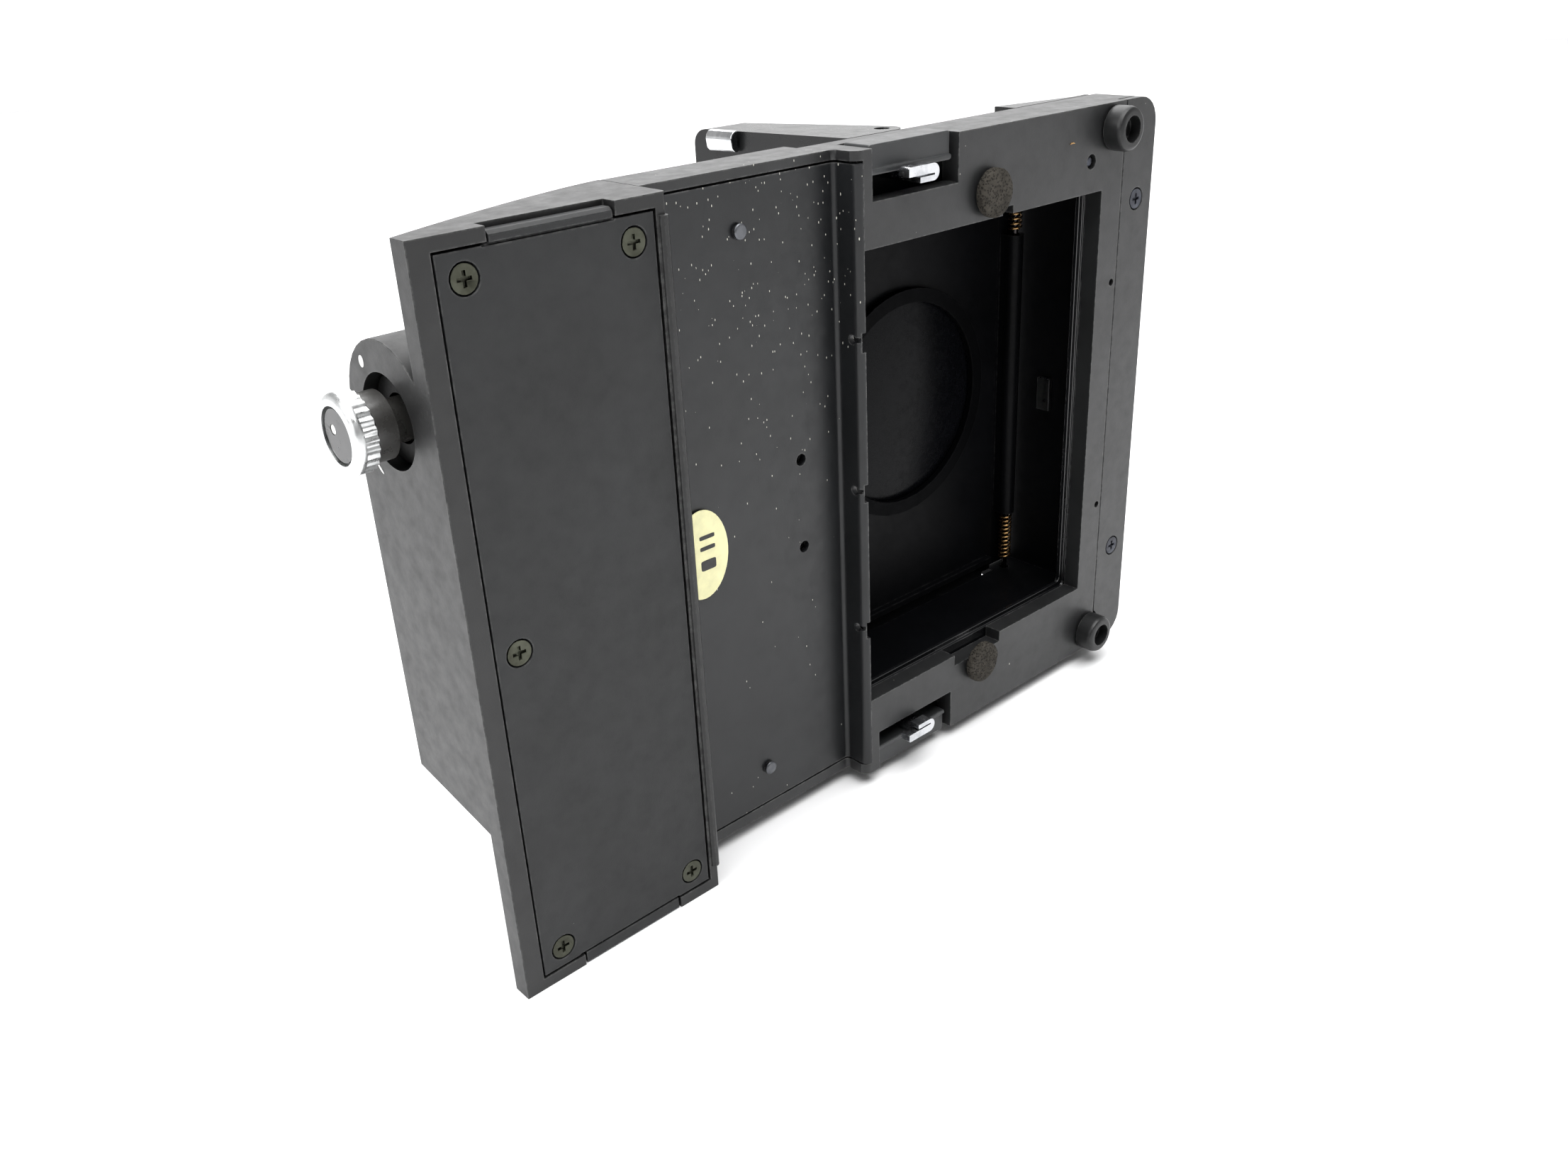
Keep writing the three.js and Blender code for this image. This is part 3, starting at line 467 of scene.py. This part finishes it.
def disc_rings(centre, across, up, normal, profile, count=28, square=1.0):
    """Rings round an axis: profile is (radius across, radius up, height along normal).
    A square below 1 pushes the outline from an oval towards a bar."""
    rings = []
    for ra, ru, h in profile:
        ring = []
        for i in range(count):
            a = 2 * math.pi * i / count
            c = math.copysign(abs(math.cos(a)) ** square, math.cos(a))
            s = math.copysign(abs(math.sin(a)) ** square, math.sin(a))
            ring.append(centre + across * (ra * c) + up * (ru * s) + normal * h)
        rings.append(ring)
    return rings


X, Y, Z = Vector((1, 0, 0)), Vector((0, 1, 0)), Vector((0, 0, 1))
INK_ROOT = 0.04 * MM  # how far a mark reaches into the face below it


def printed_dot(name, centre, axes, radii, height, body, look="white", square=1.0):
    """A thin mark: axes are across, up and outwards, and radii and height are in millimetres."""
    ra, ru, top = (v * MM for v in (*radii, height))
    bm = bmesh.new()
    profile = [(ra, ru, -INK_ROOT), (ra, ru, top * 0.6), (ra * 0.93, ru * 0.93, top)]
    closed_strip(bm, disc_rings(centre, *axes, profile, square=square))
    piece(name, bm, look, body)


# index marks on the end of the housing, and the dot on the selector
housing_lo, housing_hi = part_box("end_housing")
index = Vector((housing_lo.x, housing_hi.y - 4.64 * MM, housing_lo.z + 83.54 * MM))
printed_dot("index_dot", index, (Y, Z, -X), (0.55, 0.7), 0.05, "frame")
index = Vector((housing_lo.x, housing_hi.y - 4.5 * MM, housing_lo.z + 70.85 * MM))
along = Vector((0, 0.77, 0.64))
printed_dot("index_line", index, (along, along.cross(X), -X), (0.9, 0.18), 0.05, "frame")

shaft_lo, shaft_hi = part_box("selector_shaft")
inlay_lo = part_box("selector_inlay")[0]
axis_y, axis_z = (shaft_lo.y + shaft_hi.y) / 2, (shaft_lo.z + shaft_hi.z) / 2
dot = Vector((inlay_lo.x + 0.2 * MM, axis_y + 1.05 * MM, axis_z + 0.5 * MM))
printed_dot("selector_dot", dot, (Y, Z, -X), (0.58, 0.58), 0.12, "selector")

# plain bars on the yellow label, in place of lettering
label_lo, label_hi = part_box("check_label")
label_mid = (label_lo + label_hi) / 2
for i, (dz, high) in enumerate(((2.5, 0.3), (0.9, 0.3), (-1.6, 0.75))):
    centre = Vector((label_mid.x + 0.9 * MM, label_lo.y, label_mid.z + dz * MM))
    printed_dot(f"label_bar_{i + 1}", centre, (X, Z, -Y), (1.3, high), 0.04, "frame", "ink", 0.3)


# foam pads: soft discs with a rounded rim and open cells on the surface
FOAM_PITS = 0.05  # spread of the pits in the surface, in millimetres


def foam_pad(node, seed):
    lo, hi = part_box(node)
    centre = (lo + hi) / 2
    radius, depth = (hi.x - lo.x) / 2, hi.y - lo.y
    rng = random.Random(seed)
    bm = bmesh.new()
    profile = [(radius * t, radius * t, 0.0) for t in (0.25, 0.5, 0.75, 0.93)]
    profile += [(radius * 0.985, radius * 0.985, depth * h) for h in (0.08, 0.3, 0.5, 0.7)]
    for k in (1, 2):
        rim = radius * (0.97 - 0.05 * k * k)
        profile.append((rim, rim, depth * (0.8 + 0.07 * k)))
    for t in (0.66, 0.52, 0.38, 0.24, 0.1):
        profile.append((radius * t, radius * t, depth * (0.975 + 0.02 * (1 - t))))
    rings = disc_rings(Vector((centre.x, hi.y, centre.z)), X, Z, -Y, profile, 44)
    closed_strip(bm, rings)
    bm.normal_update()
    for v in bm.verts:
        if v.co.y < hi.y - depth * 0.05:
            v.co -= v.normal * (abs(rng.gauss(0, FOAM_PITS)) * MM)
    pad = piece(node.replace("foam_pad", "soft_foam_pad"), bm, "foam", "frame")
    for polygon in pad.data.polygons:
        polygon.use_smooth = True
    fine = pad.modifiers.new("fine", "SUBSURF")
    fine.levels = fine.render_levels = 1
    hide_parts(node)


foam_pad("foam_pad_upper", 3)
foam_pad("foam_pad_lower", 8)


# torsion springs wound from round wire, in the space of the CAD coils
WIRE = 0.2 * MM
STEPS_A_TURN = 22
WIRE_SIDES = 8


def wound_spring(node, turns):
    lo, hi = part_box(node)
    cx, cy = (lo.x + hi.x) / 2, (lo.y + hi.y) / 2
    coil_r = (hi.x - lo.x) / 2 - WIRE
    z0, z1 = lo.z + WIRE, hi.z - WIRE
    steps = turns * STEPS_A_TURN
    round_wire = [2 * math.pi * k / WIRE_SIDES for k in range(WIRE_SIDES)]
    bm = bmesh.new()
    rings = []
    for i in range(steps + 1):
        a = 2 * math.pi * turns * i / steps
        out = Vector((math.cos(a), math.sin(a), 0))
        centre = Vector((cx, cy, z0 + (z1 - z0) * i / steps)) + out * coil_r
        rings.append([centre + (out * math.cos(b) + Z * math.sin(b)) * WIRE for b in round_wire])
    closed_strip(bm, rings)
    spring = piece(node.replace("panel_spring", "wound_spring"), bm, "brass", "frame")
    for polygon in spring.data.polygons:
        polygon.use_smooth = True
    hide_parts(node)


wound_spring("panel_spring_lower", 11)
wound_spring("panel_spring_upper", 9)

# paint bridging the joint between the frame and its end strip, a little below their faces
strip_lo, strip_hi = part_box("end_strip")
bm = bmesh.new()
seam_x = strip_lo.x - 0.15 * MM
profile = ((-0.22, 0.5), (-0.22, 0.16), (-0.1, 0.1), (0.1, 0.1), (0.22, 0.16), (0.22, 0.5))
closed_strip(bm, [
    [Vector((seam_x + dx * MM, strip_lo.y + dy * MM, z)) for dx, dy in profile]
    for z in (strip_lo.z + 0.2 * MM, strip_hi.z - 0.2 * MM)
])
piece("strip_seam", bm, "casting", "frame")

# a fleck of brass lying on the face of the frame
bm = bmesh.new()
fleck = Vector((strip_lo.x - 14.5 * MM, strip_lo.y, strip_hi.z - 4.9 * MM))
rings = []
section = ((-1, -0.02), (-0.8, 0.1), (0.8, 0.1), (1, -0.02))
for t, w in ((0, 0.05), (0.35, 0.14), (0.8, 0.13), (1.15, 0.05)):
    mid = fleck + X * (t * MM) + Z * (0.12 * math.sin(t * 2.6) * MM)
    rings.append([mid + Z * (w * a * MM) - Y * (b * MM) for a, b in section])
closed_strip(bm, rings)
piece("brass_fleck", bm, "brass", "frame")


# ---------------------------------------------------------------- stage, light and camera
FLOOR_ROWS = (-4.0, 0.0, 1.15)  # distances along the line of sight
FLOOR_SIDES = (-9, 9)


def floor():
    bm = bmesh.new()
    across = Vector((0.75, -0.66, 0)).normalized()
    away = Vector((0.66, 0.75, 0)).normalized()
    rows = [[bm.verts.new(away * d + across * s) for s in FLOOR_SIDES] for d in FLOOR_ROWS]
    for a, b in zip(rows, rows[1:]):
        bm.faces.new((a[0], a[1], b[1], b[0]))
    mesh = bpy.data.meshes.new("studio_floor")
    bm.to_mesh(mesh)
    bm.free()
    obj = bpy.data.objects.new("studio_floor", mesh)
    scene.collection.objects.link(obj)
    look = Look("studio_white", Roughness=0.6)
    look.set(Base_Color=look.mix(look.noise(6, 3), (0.86, 0.86, 0.87, 1), (0.9, 0.9, 0.9, 1)))
    mesh.materials.append(look.mat)
    for polygon in mesh.polygons:
        polygon.use_smooth = True


floor()


def softbox(name, place, target, size, power):
    light = bpy.data.lights.new(name, "AREA")
    light.shape = "RECTANGLE"
    light.size, light.size_y = size
    light.energy = power
    obj = bpy.data.objects.new(name, light)
    obj.location = place
    obj.rotation_euler = (Vector(target) - Vector(place)).to_track_quat("-Z", "Y").to_euler()
    scene.collection.objects.link(obj)


CENTRE = (0, 0, 0.05)
softbox("overhead", (-0.1, -0.25, 1.1), (-0.05, -0.15, 0), (1.2, 1.0), 24)
softbox("behind", (0.62, 0.7, 0.52), CENTRE, (0.9, 0.5), 2.6)
softbox("backdrop", (0.72, 0.8, 1.4), (0.72, 0.8, 0), (1.4, 0.9), 17)
softbox("left", (-1.0, 0.15, 0.6), CENTRE, (0.7, 0.7), 7)

# pale room: darker on the side the picture is taken from, and dimmer above the horizon
CAMERA_SIDE = (-0.62, -0.7, 0.35)
world = bpy.data.worlds.new("studio")
scene.world = world
world.use_nodes = True
tree = world.node_tree


def world_node(kind, operation=None):
    made = tree.nodes.new("ShaderNode" + kind)
    if operation:
        made.operation = operation
    return made


def world_range(source, low, high, out_low, out_high):
    made = world_node("MapRange")
    tree.links.new(source, made.inputs["Value"])
    for key, value in zip(RANGE, (low, high, out_low, out_high)):
        made.inputs[key].default_value = value
    return made.outputs[0]


direction = world_node("TexCoord").outputs["Generated"]
toward = world_node("VectorMath", "DOT_PRODUCT")
toward.inputs[1].default_value = CAMERA_SIDE
tree.links.new(direction, toward.inputs[0])
height = world_node("SeparateXYZ")
tree.links.new(direction, height.inputs[0])
strength = world_node("Math", "MULTIPLY")
tree.links.new(world_range(toward.outputs["Value"], 0.1, 0.85, 1.1, 0.3), strength.inputs[0])
tree.links.new(world_range(height.outputs["Z"], 0.02, 0.3, 1.0, 0.45), strength.inputs[1])
backdrop = tree.nodes["Background"]
backdrop.inputs["Color"].default_value = (1, 1, 1, 1)
tree.links.new(strength.outputs[0], backdrop.inputs["Strength"])
scene.view_settings.view_transform = "Standard"
scene.view_settings.look = "None"
scene.view_settings.exposure = 0.0

# the camera: its place and turn were solved from the outline of the frame
CAMERA_PLACE = (-0.12663, -0.14302, 0.12484)
camera_data = bpy.data.cameras.new("camera")
camera = bpy.data.objects.new("camera", camera_data)
scene.collection.objects.link(camera)
scene.camera = camera
camera_data.sensor_width = 36
camera_data.lens = 30.78
camera_data.clip_start = 0.01
right = Vector((0.73276891, -0.67918481, -0.04192504))
up = Vector((0.32832589, 0.29891921, 0.89601865))
back = Vector((-0.59603006, -0.67033969, 0.44203267))
turn = Matrix((right, up, back)).transposed().to_4x4()
camera.matrix_world = Matrix.Translation(CAMERA_PLACE) @ turn
